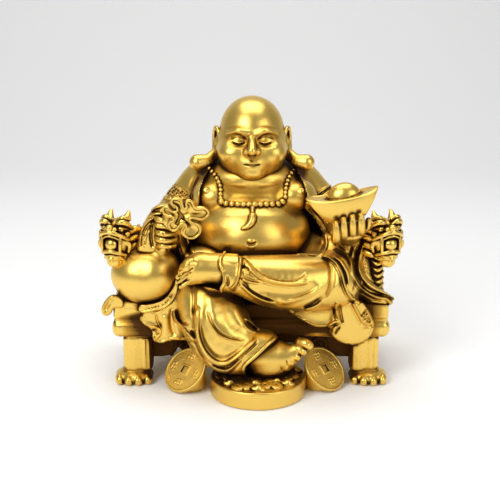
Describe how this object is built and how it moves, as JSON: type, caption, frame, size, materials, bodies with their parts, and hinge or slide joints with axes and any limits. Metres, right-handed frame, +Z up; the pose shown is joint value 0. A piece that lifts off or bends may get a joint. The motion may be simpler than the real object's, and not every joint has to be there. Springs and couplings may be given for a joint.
{
  "type": "seated budai figure on dragon chair",
  "caption": "Cast brass ornament of a seated bald monk with sack and boat ingot on a dragon armchair, one foot on a treasure stand between two leaning coins",
  "frame": {"origin": "the middle of the underside's bounding box, on the plane the chair's paws, the stand and the coins stand on", "axes": "+Z up, the figure looks along -Y, +X runs to the viewer's right"},
  "size_m": [0.3088, 0.1894, 0.284],
  "materials": {
    "polished_brass": "polished cast brass with dark brown patina left in the recesses",
    "chair_brass": "cast brass with polished edges and darker patina between the carving",
    "coin_brass": "cast brass with a polished rim and a matt stippled field"
  },
  "bodies": {
    "root": {"budai_figure": "polished_brass", "dragon_chair": "chair_brass", "treasure_stand": "polished_brass", "coin_left": "coin_brass", "coin_right": "coin_brass"}
  },
  "joints": []
}
